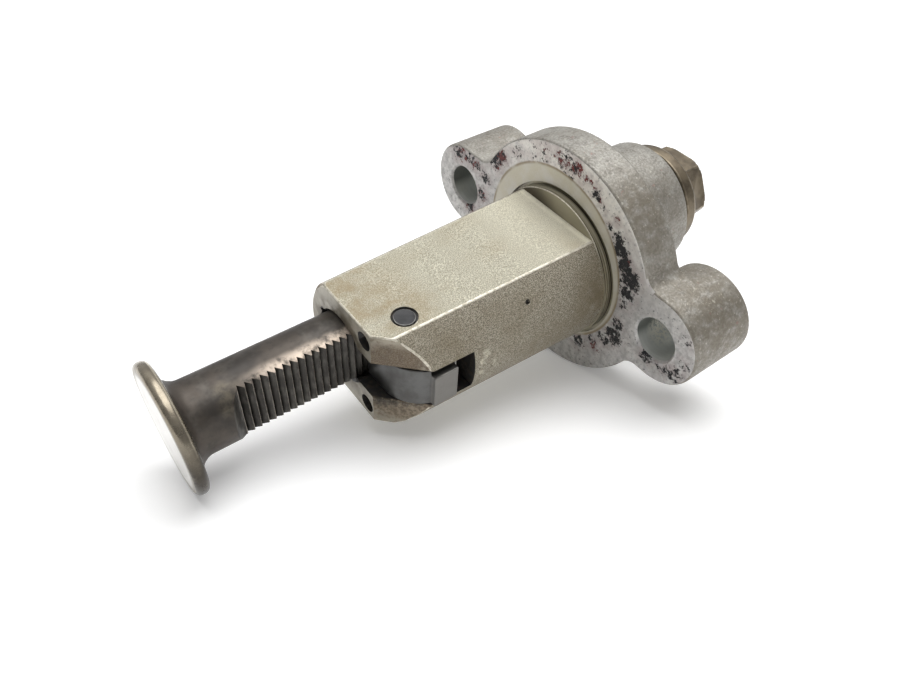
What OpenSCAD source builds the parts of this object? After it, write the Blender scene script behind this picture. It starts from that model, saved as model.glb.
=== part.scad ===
// Ratchet timing chain tensioner, millimetres.
// The origin lies in the plane of the gasket face, midway between the two bolt holes.
// +X runs along the plunger towards its foot, +Z is square to the barrel's upper flat,
// and the two bolt lugs lie along Y. Sizes named from the axis count from the barrel's axis.

/* [Barrel] */
// Barrel radius where it leaves the flange
barrel_r_root = 11.5; // [8:0.1:16]
// Barrel radius at the front face, smaller by the casting draft
barrel_r_front = 10.6; // [7:0.1:15]
// Barrel length from the gasket face to the front face
barrel_len = 35.6; // [25:0.1:60]
// Half the distance between the two flats at their flange end
flat_half_root = 8.9; // [6:0.1:14]
// Half the distance between the two flats at the front face
flat_half_front = 8.25; // [5.5:0.05:13]
// Distance from the gasket face to the step where the flats end
flat_start = 1.2; // [0.8:0.1:6]
// Radius of the turned register at the foot of the barrel
register_r = 11.7; // [8:0.1:17]
// Width of the relief groove in the gasket face round the register
groove_w = 0.45; // [0.2:0.05:1.5]
// Depth of the relief groove
groove_d = 0.4; // [0.2:0.05:1]
// Bevel on the barrel's front edge
front_bevel = 0.4; // [0.1:0.1:1.2]
// Distance from the barrel's axis at which the 45 degree corner cut leaves the front face
corner_cut_y = 4.7; // [3.5:0.1:8]

/* [Flange] */
// Radius of the flange disc
flange_r = 18.5; // [15:0.1:26]
// Thickness of the flange disc
flange_t = 6; // [3:0.1:10]
// Radius of a bolt lug
lug_r = 7; // [5.5:0.1:10]
// Bevel on a lug's rear edge
lug_bevel = 0.5; // [0.2:0.1:1.2]
// Length of a bolt lug from the gasket face to its rear seat
lug_len = 11.4; // [7:0.1:18]
// Distance between the two bolt holes
bolt_spacing = 42.9; // [40.5:0.1:60]
// Distance of the barrel's axis from the middle of the bolt pattern, towards the pawl's side
barrel_off = 0.95; // [0:0.05:1.2]
// Radius of the concave corner between lug and disc
lug_fillet = 3; // [1:0.1:6]
// Radius of a bolt hole, clearance for a 6 mm screw
bolt_hole_r = 3.3; // [2.6:0.05:4.3]
// Chamfer at both ends of a bolt hole
bolt_hole_chamfer = 0.3; // [0.1:0.05:0.8]

/* [Rear boss] */
// Distance of the plunger's axis from the barrel's axis, away from the pawl
plunger_off = 2.7; // [0:0.05:5]
// Boss radius at the flange
boss_r_root = 10.8; // [9:0.1:14]
// Boss radius at its rear face
boss_r_rear = 10.2; // [8.5:0.1:13.5]
// Distance from the gasket face to the boss's rear face
boss_len = 21.6; // [14:0.1:40]
// Radius of the fillet between boss and flange
boss_fillet = 2; // [0.5:0.1:3.5]
// Bevel on the boss's rear edge
boss_bevel = 0.6; // [0.2:0.1:1.5]
// Radius of the plunger's bore
bore_r = 5.05; // [3:0.05:8]
// Mouth chamfer of the plunger's bore
bore_chamfer = 0.4; // [0.1:0.05:1]
// Radius of the threaded hole for the cap bolt
thread_r = 6; // [5.5:0.1:8]
// Depth of the threaded hole from the boss's rear face
thread_depth = 9.5; // [6:0.1:14]

/* [Pawl slot] */
// Length of the slot from the barrel's front face to its rear wall
slot_len = 11.9; // [9:0.1:19]
// Half the slot's height
slot_half = 3.3; // [2:0.05:5]
// Distance of the pivot pin behind the barrel's front face
pivot_back = 5.3; // [5:0.05:5.6]
// Pivot pin distance from the barrel's axis
pivot_y = 4.35; // [3.8:0.05:6]
// Radius of the round recess round each end of the pivot pin
pin_recess_r = 1.75; // [1.2:0.05:2.6]
// Depth of the recess round the pin
pin_recess_d = 0.25; // [0.1:0.05:0.6]
// Radius of the two small blind holes in the front face
front_hole_r = 1.35; // [0.6:0.05:1.5]
// Depth of the two small blind holes
front_hole_d = 3; // [1:0.1:3.2]
// Distance of the small holes from the barrel's axis, across the flats' direction
front_hole_y = 3.2; // [2.4:0.1:3.2]
// Distance of the small holes from the barrel's axis, towards the flats
front_hole_z = 6.1; // [5.2:0.05:6.5]

/* [Marks of use] */
// Width of the nick in the bore's mouth
nick_w = 1; // [0.4:0.1:1.6]
// Depth of the nick in the bore's mouth
nick_d = 0.7; // [0.3:0.1:1.2]
// Radius of the casting pit in the barrel's side
pit_r = 0.45; // [0.2:0.05:0.8]

/* [Plunger] */
// Plunger rod radius
rod_r = 5; // [2.9:0.05:7.9]
// Distance from the barrel's front face to the foot's front face, fully extended
foot_out = 24.5; // [23:0.1:40]
// Foot disc radius
foot_r = 8.8; // [7.8:0.1:13]
// Thickness of the foot disc
foot_t = 1.8; // [1.7:0.1:4]
// Rounding of the foot's rim
foot_round = 0.8; // [0.4:0.05:0.8]
// Fillet between rod and foot
foot_fillet = 2.2; // [1:0.1:2.6]
// Distance from the gasket face to the rod's rear end, fully extended
rod_rear = 8; // [6.5:0.1:12]
// Radius of the spring's bore in the rod
spring_bore_r = 3.3; // [2.95:0.05:3.5]
// Distance of the bottom of the spring's bore behind the barrel's front face, fully extended
spring_bore_back = 11; // [10.8:0.1:15]
// Distance of the rack's tooth crests from the rod's axis
crest_off = 2.8; // [2.7:0.05:3.1]
// Distance between two rack teeth
tooth_pitch = 1; // [0.8:0.05:1.2]
// Depth of a rack tooth
tooth_depth = 0.65; // [0.4:0.05:0.8]
// Length of the steep side of a rack tooth along the rod
tooth_steep = 0.15; // [0.05:0.01:0.3]
// Number of rack teeth
tooth_count = 20; // [12:1:20]
// Distance of the rack flat's rear end behind the barrel's front face, fully extended
rack_back = 8.6; // [8.4:0.1:9.4]
// Distance of the rack flat's front end from the barrel's front face, fully extended
rack_out = 17.4; // [17.2:0.1:18]
// Radius of the milling cutter that leaves the run-out at both ends of the rack's flat
cutter_r = 7.2; // [6.8:0.1:7.6]
// Distance of that cutter's centre from the rod's axis
cutter_off = 8; // [7.8:0.1:8.2]

/* [Pawl] */
// Radius of the pivot pin
pin_r = 1.5; // [1:0.05:2]
// Running clearance between pivot pin and pawl
pin_clear = 0.05; // [0.02:0.01:0.1]
// Underside of the pawl, measured along the pin from the barrel's axis
pawl_bottom = -3.2; // [-3.2:0.05:-1.8]
// Upper side of the pawl
pawl_top = 2.3; // [1.8:0.05:2.3]
// Upper edge of the curved wall that stands round the pawl's spring
wall_top = 3.15; // [2.6:0.05:3.2]
// Thickness of that curved wall
wall_t = 1.2; // [0.9:0.05:1.4]
// Radius of the pawl's eye round the pin
eye_r = 3; // [2.4:0.05:3.2]
// Distance from the pin to the pawl's front face
nose_front = 3.45; // [3.4:0.05:3.9]
// Radius of the pawl's curved outer face
cam_r = 6; // [5.6:0.1:6.4]
// Width of the pawl's tail block along the barrel
tail_w = 3.7; // [2.4:0.1:3.8]
// Distance from the pin to the front edge of the tail block, towards the flange
tail_front = 0.3; // [0:0.1:1]
// Distance of the tail block's outer face from the barrel's axis
tail_out = 10.7; // [9.6:0.05:10.7]
// Distance from the pin back to the slender end of the tail's inner side
tail_inner = 3; // [2.4:0.1:3.6]
// Swing of the pawl from riding on the crests to full mesh, degrees
engage_deg = 9; // [6:0.5:10]
// Gap between pawl teeth and crests while the pawl rides
ride_gap = 0.14; // [0.13:0.01:0.18]
// Distance from the pin to the rack groove that the front pawl tooth meets in mesh
mesh_reach = 2.72; // [2.6:0.02:2.8]
// Play between meshed teeth along the rod
mesh_play = 0.32; // [0.3:0.01:0.34]

/* [Springs] */
// Wire radius of the pawl's spring
pawl_wire_r = 0.17; // [0.12:0.01:0.18]
// Coil radius of the pawl's spring, to the wire's middle
pawl_coil_r = 2.05; // [1.8:0.05:2.6]
// Height of the pawl spring's lower leg above the barrel's axis
pawl_coil_z = 2.53; // [2.5:0.01:2.56]
// Rise of the pawl spring's coil from its lower leg to its upper leg
pawl_coil_h = 0.55; // [0.5:0.01:0.56]
// Length of the pawl spring's leg that lies along the slot
pawl_leg = 5.4; // [3:0.1:5.6]
// Length of the hook behind the tail block
pawl_hook = 1.4; // [0.6:0.1:2.5]
// Wire radius of the main spring
main_wire_r = 0.45; // [0.3:0.05:0.5]
// Coil radius of the main spring, to the wire's middle
main_coil_r = 2.55; // [2:0.05:2.6]
// Number of turns of the main spring
main_turns = 15; // [10:1:18]

/* [Cap bolt] */
// Thickness of the sealing washer
seal_t = 1.3; // [0.8:0.1:2.5]
// Outer radius of the sealing washer
seal_r = 8.3; // [7.4:0.1:8.6]
// Radius of the bolt's washer face
bolt_flange_r = 8.7; // [8:0.1:11]
// Thickness of the rim of the bolt's washer face
bolt_flange_t = 2; // [1:0.1:3]
// Width of the hexagon across flats
hex_af = 12; // [11:0.5:14]
// Height of the bolt's head from washer seat to end
head_h = 7.4; // [6:0.1:10]
// Distance the bolt reaches forward of the boss's rear face
bolt_reach = 7.6; // [5:0.1:9]
// Radius of the bolt's hollow end that seats the spring
bolt_hollow_r = 3.6; // [3.1:0.05:4]
// Depth of the bolt's hollow end
bolt_hollow_d = 3; // [1:0.1:4]

/* [Hidden] */
$fn = 72;
// Distances of the two lug holes from the barrel's axis, on the pawl's side and on the other side
lug_near = bolt_spacing / 2 - barrel_off;
lug_far = bolt_spacing / 2 + barrel_off;
// Stations along the barrel, from the gasket face
slot_rear = barrel_len - slot_len;
pivot_x = barrel_len - pivot_back;
foot_front = barrel_len + foot_out;
spring_bore_end = barrel_len - spring_bore_back;
rack_rear = barrel_len - rack_back;
rack_front = barrel_len + rack_out;
plunger_y = -plunger_off;
crest_y = plunger_y + crest_off;
groove_y = crest_y - tooth_depth;
hex_r = hex_af / 2 / cos(30);
head_seat = -boss_len - seal_t;
spring_seat = -boss_len + bolt_reach - bolt_hollow_d;
cam_x = pivot_x + nose_front - cam_r;
tail_x = pivot_x - tail_front;
pin_half = flat_half_root - (flat_half_root - flat_half_front) * pivot_x / barrel_len - 0.05;
// The groove under the pawl's front tooth when the pawl is in mesh
mesh_x = pivot_x + mesh_reach;
// Front end of the row of grooves
rack_teeth_front = mesh_x + tooth_pitch * floor((rack_front - 1.6 - mesh_x) / tooth_pitch);
gentle = tooth_pitch - tooth_steep;
// Reach of the cutter's run-out along the rod, from the cutter's centre to the rod's surface
cutter_reach = sqrt(pow(cutter_r, 2) - pow(cutter_off - rod_r, 2));
// Fillet centres between disc and lug; the arc dips a little into the disc, so the two meet in a clean corner
fillet_dip = 0.03;
fillet_z = lug_r + lug_fillet - fillet_dip;
fillet_y = sqrt(pow(flange_r + lug_fillet - fillet_dip, 2) - pow(fillet_z, 2));

// Moves a sub-part from the barrel's axis to its place in the part's frame
module placed() {
    translate([0, barrel_off, 0]) children();
}

// Turns a solid built along Z so that it lies along X
module along_x() {
    rotate([0, 90, 0]) children();
}

// A flat outline in Y and Z, given thickness along +X from the given station
module plate(x, t) {
    translate([x, 0, 0]) rotate([90, 0, 90]) linear_extrude(height = t) children();
}

// Cylinder along X between two stations, at a given distance from the barrel's axis
module bar(x0, x1, r, y = 0, z = 0) {
    translate([x0, y, z]) along_x() cylinder(r = r, h = x1 - x0);
}

// Cone along X between two stations
module cone(x0, x1, r0, r1, y = 0, z = 0) {
    translate([x0, y, z]) along_x() cylinder(r1 = r0, r2 = r1, h = x1 - x0);
}

// Concave corner between the flange disc and one side of a lug
module corner_web(sy, sz) {
    scale([sy, sz]) difference() {
        polygon([[0, 0], [fillet_y, fillet_z], [fillet_y, 0]]);
        translate([fillet_y, fillet_z]) circle(r = lug_fillet);
    }
}

// Outline of the flange in Y and Z
module flange_outline() {
    circle(r = flange_r, $fn = 128);
    translate([lug_near, 0]) circle(r = lug_r);
    translate([-lug_far, 0]) circle(r = lug_r);
    translate([0, -lug_r]) square([lug_near, 2 * lug_r]);
    translate([-lug_far, -lug_r]) square([lug_far, 2 * lug_r]);
    for (sy = [-1, 1]) {
        for (sz = [-1, 1]) corner_web(sy, sz);
    }
}

// Round barrel with its draft and register, before the flats are cut
module barrel_turned() {
    along_x() rotate_extrude($fn = 128) polygon([
        [0, -1],
        [register_r, -1],
        [register_r, flat_start],
        [barrel_r_root, flat_start],
        [barrel_r_front, barrel_len - front_bevel],
        [barrel_r_front - front_bevel, barrel_len],
        [0, barrel_len]
    ]);
}

// Everything that stays between the two drafted flats
module between_flats() {
    wide = 2 * register_r + 2;
    translate([-2, -wide / 2, -wide / 2]) cube([flat_start + 2, wide, wide]);
    rotate([90, 0, 0]) linear_extrude(height = wide, center = true) polygon([
        [0, -flat_half_root],
        [barrel_len + 1, -flat_half_front],
        [barrel_len + 1, flat_half_front],
        [0, flat_half_root]
    ]);
}

// Rear boss about the plunger's axis, with its fillet to the flange
module rear_boss() {
    translate([0, plunger_y, 0]) rotate([0, -90, 0]) rotate_extrude($fn = 128) difference() {
        polygon([
            [0, 1],
            [boss_r_root + boss_fillet, 1],
            [boss_r_root + boss_fillet, flange_t],
            [boss_r_root, flange_t + boss_fillet],
            [boss_r_rear, boss_len - boss_bevel],
            [boss_r_rear - boss_bevel, boss_len],
            [0, boss_len]
        ]);
        translate([boss_r_root + boss_fillet, flange_t + boss_fillet]) circle(r = boss_fillet);
    }
}

// Flange plate with the relief groove that runs round the register
module flange() {
    difference() {
        plate(-flange_t, flange_t) flange_outline();
        bar(-groove_d, 1, register_r + groove_w);
    }
}

// Two long bolt lugs
module lugs() {
    for (y = [lug_near, -lug_far]) {
        bar(-lug_len + lug_bevel, 0, lug_r, y);
        cone(-lug_len, -lug_len + lug_bevel, lug_r - lug_bevel, lug_r, y);
    }
}

// Through hole for a mounting screw, chamfered at both ends
module bolt_hole(y) {
    bar(-lug_len - 1, 1, bolt_hole_r, y);
    cone(-bolt_hole_chamfer, 0.01, bolt_hole_r, bolt_hole_r + bolt_hole_chamfer, y);
    cone(-lug_len - 0.01, -lug_len + bolt_hole_chamfer, bolt_hole_r + bolt_hole_chamfer, bolt_hole_r, y);
}

// Plunger bore and the threaded hole behind it
module bores() {
    bar(-boss_len - 1, barrel_len + 1, bore_r, plunger_y);
    bar(-boss_len - 1, -boss_len + thread_depth, thread_r, plunger_y);
    cone(barrel_len - bore_chamfer, barrel_len + 0.01, bore_r, bore_r + bore_chamfer, plunger_y);
}

// Slot for the pawl, open to the front and to the side
module pawl_slot() {
    translate([slot_rear, 0, -slot_half]) cube([barrel_len, barrel_r_root + 2, 2 * slot_half]);
}

// Wedge that takes the 45 degree corner off the barrel beside the pawl
module corner_cut() {
    reach = 2 * barrel_r_root;
    translate([barrel_len, corner_cut_y, 0]) linear_extrude(height = reach + 2, center = true) polygon([
        [2, -2],
        [2, reach],
        [-reach, reach]
    ]);
}

// Hole for the pivot pin through both walls of the slot, with a shallow recess at each end
module pin_hole() {
    translate([pivot_x, pivot_y, -barrel_r_root]) cylinder(r = pin_r, h = 2 * barrel_r_root);
    for (s = [-1, 1]) translate([pivot_x, pivot_y, s * (pin_half + barrel_r_root / 2 - pin_recess_d)])
        cylinder(r = pin_recess_r, h = barrel_r_root, center = true);
}

// Worn nick at the bore's mouth and a casting pit in the barrel's side
module marks() {
    nick_deg = 145;
    pit_x = 14.2;
    pit_deg = 33;
    pit_surface = barrel_r_root - (barrel_r_root - barrel_r_front) * pit_x / barrel_len;
    translate([barrel_len, plunger_y, 0]) rotate([nick_deg, 0, 0]) translate([0, bore_r + 0.15, 0])
        rotate([0, 0, 45]) cube([nick_d * 1.4, nick_d * 1.4, nick_w], center = true);
    translate([pit_x, 0, 0]) rotate([pit_deg - 90, 0, 0]) translate([0, 0, pit_surface - 0.8 * pit_r])
        cylinder(r1 = 0.6 * pit_r, r2 = 1.2 * pit_r, h = 1.6 * pit_r, $fn = 24);
}

// Die-cast housing: barrel, flange, lugs and rear boss in one piece
module housing() {
    color([0.72, 0.71, 0.67]) placed() difference() {
        union() {
            intersection() {
                barrel_turned();
                between_flats();
            }
            flange();
            lugs();
            rear_boss();
        }
        bores();
        pawl_slot();
        corner_cut();
        pin_hole();
        for (s = [-1, 1])
            bar(barrel_len - front_hole_d, barrel_len + 1, front_hole_r, front_hole_y, s * front_hole_z);
        bolt_hole(lug_near);
        bolt_hole(-lug_far);
        marks();
    }
}

// Rod and foot as one turned piece
module plunger_turned() {
    translate([0, plunger_y, 0]) along_x() rotate_extrude() union() {
        translate([0, rod_rear]) square([rod_r, foot_front - foot_t / 2 - rod_rear]);
        translate([0, foot_front - foot_t]) square([foot_r - foot_round, foot_t]);
        translate([0, foot_front - foot_t + foot_round]) square([foot_r, foot_t - 2 * foot_round]);
        for (x = [foot_front - foot_round, foot_front - foot_t + foot_round])
            translate([foot_r - foot_round, x]) circle(r = foot_round);
        difference() {
            translate([rod_r - 0.5, foot_front - foot_t - foot_fillet]) square(foot_fillet + 0.5);
            translate([rod_r + foot_fillet, foot_front - foot_t - foot_fillet]) circle(r = foot_fillet);
        }
    }
}

// Side view of what is milled off the rod: the flat and the cutter's run-out at both ends
module rack_flat_cut() {
    first = rack_rear + cutter_reach;
    last = rack_front - cutter_reach;
    intersection() {
        translate([rack_rear - 1, crest_y]) square([rack_front - rack_rear + 2, rod_r]);
        union() {
            translate([first, crest_y]) square([last - first, rod_r]);
            for (x = [first, last]) translate([x, plunger_y + cutter_off]) circle(r = cutter_r, $fn = 144);
        }
    }
}

// Side view of the grooves between the rack's teeth, steep on the side that faces the flange
module rack_grooves() {
    for (i = [0 : tooth_count - 1]) {
        x = rack_teeth_front - i * tooth_pitch;
        polygon([
            [x, groove_y],
            [x + tooth_steep, crest_y],
            [x + tooth_steep, crest_y + 0.5],
            [x - gentle, crest_y + 0.5],
            [x - gentle, crest_y]
        ]);
    }
}

// Plunger: hollow steel rod with a rack on one side and a round foot
module plunger() {
    color([0.36, 0.34, 0.31]) placed() difference() {
        plunger_turned();
        linear_extrude(height = 4 * rod_r, center = true) union() {
            rack_flat_cut();
            rack_grooves();
        }
        bar(rod_rear - 1, spring_bore_end, spring_bore_r, plunger_y);
        cone(rod_rear - 0.01, rod_rear + 0.4, spring_bore_r + 0.4, spring_bore_r, plunger_y);
    }
}

// One pawl tooth in mesh: its tip stands so high that it clears the crests once the pawl rides
module pawl_tooth(i) {
    x = mesh_x - i * tooth_pitch - mesh_play;
    tip = pivot_y + (crest_y + ride_gap - pivot_y - (x - pivot_x) * sin(engage_deg)) / cos(engage_deg);
    rise = 1.3;
    lean = tooth_steep / tooth_depth;
    slope = gentle / tooth_depth;
    land = 0.08;
    low = tip - groove_y;
    polygon([
        [x + low * lean, tip],
        [x + (low + rise) * lean, tip + rise],
        [x + low * lean - land - rise * slope, tip + rise],
        [x + low * lean - land, tip]
    ]);
}

// Outline of the pawl seen along the pin, with the pawl riding on the crests
module pawl_outline() {
    nose_y = crest_y + ride_gap + 0.62;
    difference() {
        union() {
            translate([pivot_x, pivot_y]) circle(r = eye_r);
            difference() {
                translate([cam_x, pivot_y]) circle(r = cam_r);
                translate([cam_x - cam_r - 1, pivot_y - cam_r - 1]) square([2 * cam_r + 2, cam_r + 1]);
                translate([cam_x - cam_r - 1, pivot_y - 1]) square([tail_x - cam_x + cam_r + 1, cam_r + 2]);
            }
            translate([pivot_x, nose_y]) square([nose_front, pivot_y - nose_y]);
            translate([tail_x - tail_w, pivot_y + tail_inner])
                square([tail_w, tail_out - pivot_y - tail_inner]);
            polygon([
                [tail_x, pivot_y],
                [tail_x, tail_out - 1],
                [tail_x - tail_w, pivot_y + tail_inner],
                [pivot_x - eye_r * cos(20), pivot_y + eye_r * sin(20)],
                [pivot_x - 1, pivot_y]
            ]);
            intersection() {
                translate([pivot_x, pivot_y]) rotate(engage_deg) translate([-pivot_x, -pivot_y]) union() {
                    for (i = [0 : 1]) pawl_tooth(i);
                }
                translate([pivot_x, crest_y]) square([nose_front, 1.6]);
            }
        }
        translate([pivot_x, pivot_y]) circle(r = pin_r + pin_clear);
    }
}

// Outline of the curved wall on the pawl's upper side, clear of the spring's coil
module pawl_wall_outline() {
    difference() {
        translate([cam_x, pivot_y]) circle(r = cam_r);
        translate([cam_x, pivot_y]) circle(r = cam_r - wall_t);
        translate([pivot_x, pivot_y]) circle(r = pawl_coil_r + pawl_wire_r + 0.3);
        translate([cam_x - cam_r - 1, pivot_y - cam_r - 1]) square([2 * cam_r + 2, cam_r + 1]);
        translate([cam_x - cam_r - 1, pivot_y - 1]) square([tail_x - cam_x + cam_r + 1, cam_r + 2]);
    }
}

// One-way pawl: curved outer face, two teeth on its nose, a tail block and a wall round the spring
module ratchet_pawl() {
    color([0.42, 0.42, 0.41]) placed() union() {
        translate([0, 0, pawl_bottom]) linear_extrude(height = pawl_top - pawl_bottom) pawl_outline();
        translate([0, 0, pawl_top]) linear_extrude(height = wall_top - pawl_top) pawl_wall_outline();
    }
}

// Pivot pin, pressed into both walls of the slot
module pawl_pivot_pin() {
    color([0.25, 0.25, 0.25]) placed() translate([pivot_x, pivot_y, -pin_half])
        cylinder(r = pin_r, h = 2 * pin_half);
}

// One station of a wire path: place, heading seen along the pin, and dip towards the barrel's axis
function station(p, heading, dip) = [p, heading, dip];

// Ring of points round one station of a wire path
function wire_ring(s, r, ring) =
    let (h = [-sin(s[1]), cos(s[1]), 0],
         v = [-sin(s[2]) * cos(s[1]), -sin(s[2]) * sin(s[1]), -cos(s[2])])
    [for (j = [0 : ring - 1]) s[0] + r * cos(360 * j / ring) * h - r * sin(360 * j / ring) * v];

// Round wire swept along a list of stations
module swept_wire(path, r, ring) {
    last = len(path) - 1;
    points = [for (s = path) each wire_ring(s, r, ring)];
    sides = [for (i = [0 : last - 1]) for (j = [0 : ring - 1])
        let (k = (j + 1) % ring)
        [i * ring + j, (i + 1) * ring + j, (i + 1) * ring + k, i * ring + k]];
    caps = [[for (j = [0 : ring - 1]) j], [for (j = [0 : ring - 1]) last * ring + ring - 1 - j]];
    polyhedron(points = points, faces = concat(sides, caps), convexity = 10);
}

// Pawl spring: a coil round the pin, one leg along the slot and one hooked behind the tail block
module pawl_spring() {
    steps = 44;
    pin = [pivot_x, pivot_y, 0];
    rest = [-pawl_leg, -0.6, 0];
    behind = [tail_x - tail_w - pawl_wire_r - 0.1 - pivot_x, tail_out - 1.2 - pivot_y, 0];
    from_deg = atan2(rest[1], rest[0]) + acos(pawl_coil_r / norm(rest));
    to_deg = 360 + atan2(behind[1], behind[0]) - acos(pawl_coil_r / norm(behind));
    high = [0, 0, pawl_coil_z + pawl_coil_h];
    low = [0, 0, pawl_coil_z];
    leave = to_deg + 90;
    bend = 2 * pawl_wire_r;
    dir = [cos(leave), sin(leave), 0];
    coil = [for (i = [0 : steps])
        let (f = i / steps, a = from_deg + f * (to_deg - from_deg))
        station(pin + pawl_coil_r * [cos(a), sin(a), 0] + high * (1 - f) + low * f, a + 90, 0)];
    hook = [for (q = [0 : 30 : 90])
        station(pin + behind + low + dir * (bend * sin(q) - bend) - [0, 0, bend * (1 - cos(q))], leave, q)];
    tip = station(pin + behind + low - [0, 0, bend + pawl_hook], leave, 90);
    start = station(pin + rest + high, from_deg + 90, 0);
    color([0.6, 0.6, 0.58]) placed() swept_wire(concat([start], coil, hook, [tip]), pawl_wire_r, 8);
}

// Distance along the main spring after a number of turns, closed at both ends
function spring_run(t, closed, open) = min(t, 1) * closed + max(0, min(t, main_turns - 1) - 1) * open
    + max(0, t - main_turns + 1) * closed;

// Main spring: round wire wound between the bolt's hollow end and the bottom of the rod's bore
module main_spring() {
    ring = 8;
    steps = 20;
    count = main_turns * steps;
    first = spring_seat + main_wire_r + 0.02;
    closed = 2 * main_wire_r + 0.04;
    span = spring_bore_end - main_wire_r - 0.02 - first;
    open = (span - 2 * closed) / (main_turns - 2);
    points = [for (i = [0 : count]) for (j = [0 : ring - 1])
        let (a = 360 * i / steps, b = 360 * j / ring, rr = main_coil_r + main_wire_r * cos(b))
        [first + spring_run(i / steps, closed, open) + main_wire_r * sin(b),
         plunger_y + rr * cos(a),
         rr * sin(a)]];
    sides = [for (i = [0 : count - 1]) for (j = [0 : ring - 1])
        let (k = (j + 1) % ring)
        [i * ring + j, i * ring + k, (i + 1) * ring + k, (i + 1) * ring + j]];
    caps = [[for (j = [0 : ring - 1]) ring - 1 - j], [for (j = [0 : ring - 1]) count * ring + j]];
    color([0.55, 0.55, 0.53]) placed()
        polyhedron(points = points, faces = concat(sides, caps), convexity = 10);
}

// Cap bolt: hexagon head with washer face, threaded shank and a hollow end for the spring
module cap_bolt() {
    rim = head_seat - bolt_flange_t;
    color([0.4, 0.36, 0.3]) placed() difference() {
        union() {
            bar(head_seat, -boss_len + bolt_reach - 0.6, thread_r, plunger_y);
            cone(-boss_len + bolt_reach - 0.6, -boss_len + bolt_reach, thread_r, thread_r - 0.6, plunger_y);
            bar(rim, head_seat, bolt_flange_r, plunger_y);
            cone(rim - 1.6, rim, hex_r - 0.3, bolt_flange_r, plunger_y);
            intersection() {
                translate([head_seat, plunger_y, 0]) rotate([0, -90, 0]) rotate([0, 0, 90])
                    cylinder(r = hex_r, h = head_h, $fn = 6);
                cone(head_seat - head_h, head_seat, hex_r - 0.7, hex_r + head_h * 1.4, plunger_y);
            }
        }
        bar(spring_seat, -boss_len + bolt_reach + 1, bolt_hollow_r, plunger_y);
    }
}

// Sealing washer between bolt and boss
module sealing_washer() {
    color([0.2, 0.19, 0.18]) placed() difference() {
        bar(head_seat, -boss_len, seal_r, plunger_y);
        bar(head_seat - 1, -boss_len + 1, thread_r + 0.2, plunger_y);
    }
}

housing();
plunger();
ratchet_pawl();
pawl_pivot_pin();
pawl_spring();
main_spring();
cap_bolt();
sealing_washer();
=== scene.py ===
"""Looks of a ratchet timing chain tensioner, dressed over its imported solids.

Every length in the size classes is in millimetres, in the part's own frame: +X runs along the plunger to
its foot, +Z is square to the barrel's upper flat, and the two bolt lugs lie along Y.
"""
import logging
import math
from dataclasses import dataclass
from enum import IntEnum
from typing import Callable, Iterable, Sequence

import bmesh
import bpy
from mathutils import Matrix, Vector


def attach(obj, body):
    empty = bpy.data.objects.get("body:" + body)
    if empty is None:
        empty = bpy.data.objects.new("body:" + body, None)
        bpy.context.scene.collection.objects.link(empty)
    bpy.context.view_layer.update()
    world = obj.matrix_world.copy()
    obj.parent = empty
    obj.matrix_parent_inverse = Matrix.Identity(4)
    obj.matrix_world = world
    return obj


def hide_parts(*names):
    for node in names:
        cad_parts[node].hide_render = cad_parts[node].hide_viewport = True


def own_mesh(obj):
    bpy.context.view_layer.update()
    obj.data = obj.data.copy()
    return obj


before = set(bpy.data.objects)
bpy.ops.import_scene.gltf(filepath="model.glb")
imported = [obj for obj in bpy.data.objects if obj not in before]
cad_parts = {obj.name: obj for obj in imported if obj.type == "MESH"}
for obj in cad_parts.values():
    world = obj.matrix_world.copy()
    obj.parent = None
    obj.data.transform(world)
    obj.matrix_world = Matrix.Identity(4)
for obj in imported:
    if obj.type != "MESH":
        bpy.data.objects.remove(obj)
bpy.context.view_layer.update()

LOG = logging.getLogger("tensioner")
MM = 0.001
BARREL_Y = 0.95
PLUNGER_Y = -1.75
# Slack in millimetres where a face or edge is told by its place.
CLOSE = 0.02
ABOUT = 0.05
# Least part of a normal along an axis that makes a face square to it.
SQUARE = 0.9
# Leaves X out of a distance.
ACROSS = (0.0, 1.0, 1.0)
# Soft border of a mask.
SOFT = {"interpolation_type": "SMOOTHSTEP"}
# Material slot of the rubbed edges on pin and bolt.
RUBBED = 1

Point = tuple[float, float, float]
Span = tuple[float, float]
Socket = bpy.types.NodeSocket
Material = bpy.types.Material
Edge = bmesh.types.BMEdge
Face = bmesh.types.BMFace


def linear(hex_colour: str) -> tuple[float, float, float, float]:
    """Turns an sRGB hex colour into linear values.

    Args:
        hex_colour: Six hex digits, without a leading sign.

    Returns:
        Red, green, blue and an alpha of 1.
    """
    parts = [int(hex_colour[i:i + 2], 16) / 255 for i in (0, 2, 4)]
    rgb = [c / 12.92 if c <= 0.04045 else ((c + 0.055) / 1.055) ** 2.4 for c in parts]
    return (rgb[0], rgb[1], rgb[2], 1.0)


def add(tree: bpy.types.NodeTree, kind: str, inputs: dict[str | int, object] | None = None,
        out: str | int = 0, **settings: object) -> Socket | None:
    """Adds a node, sets its options and fills or links its inputs.

    Args:
        tree: Node tree that takes the node.
        kind: Node type without its common prefix.
        inputs: Socket name or number to a value, to a hex colour, or to a socket that is linked to it.
        out: Name or number of the output that is handed back.
        settings: Options of the node itself.

    Returns:
        The chosen output, whose node leads to the other ones; none for a node without outputs.
    """
    node = tree.nodes.new("ShaderNode" + kind)
    for key, value in settings.items():
        setattr(node, key, value)
    for key, value in (inputs or {}).items():
        if isinstance(value, Socket):
            tree.links.new(value, node.inputs[key])
        else:
            node.inputs[key].default_value = linear(value) if isinstance(value, str) else value
    return node.outputs[out] if len(node.outputs) else None


def ends(span: Span) -> dict[str, float]:
    """Gives the two places in millimetres between which a mask rises from 0 to 1."""
    return {"From Min": span[0] * MM, "From Max": span[1] * MM}


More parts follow.
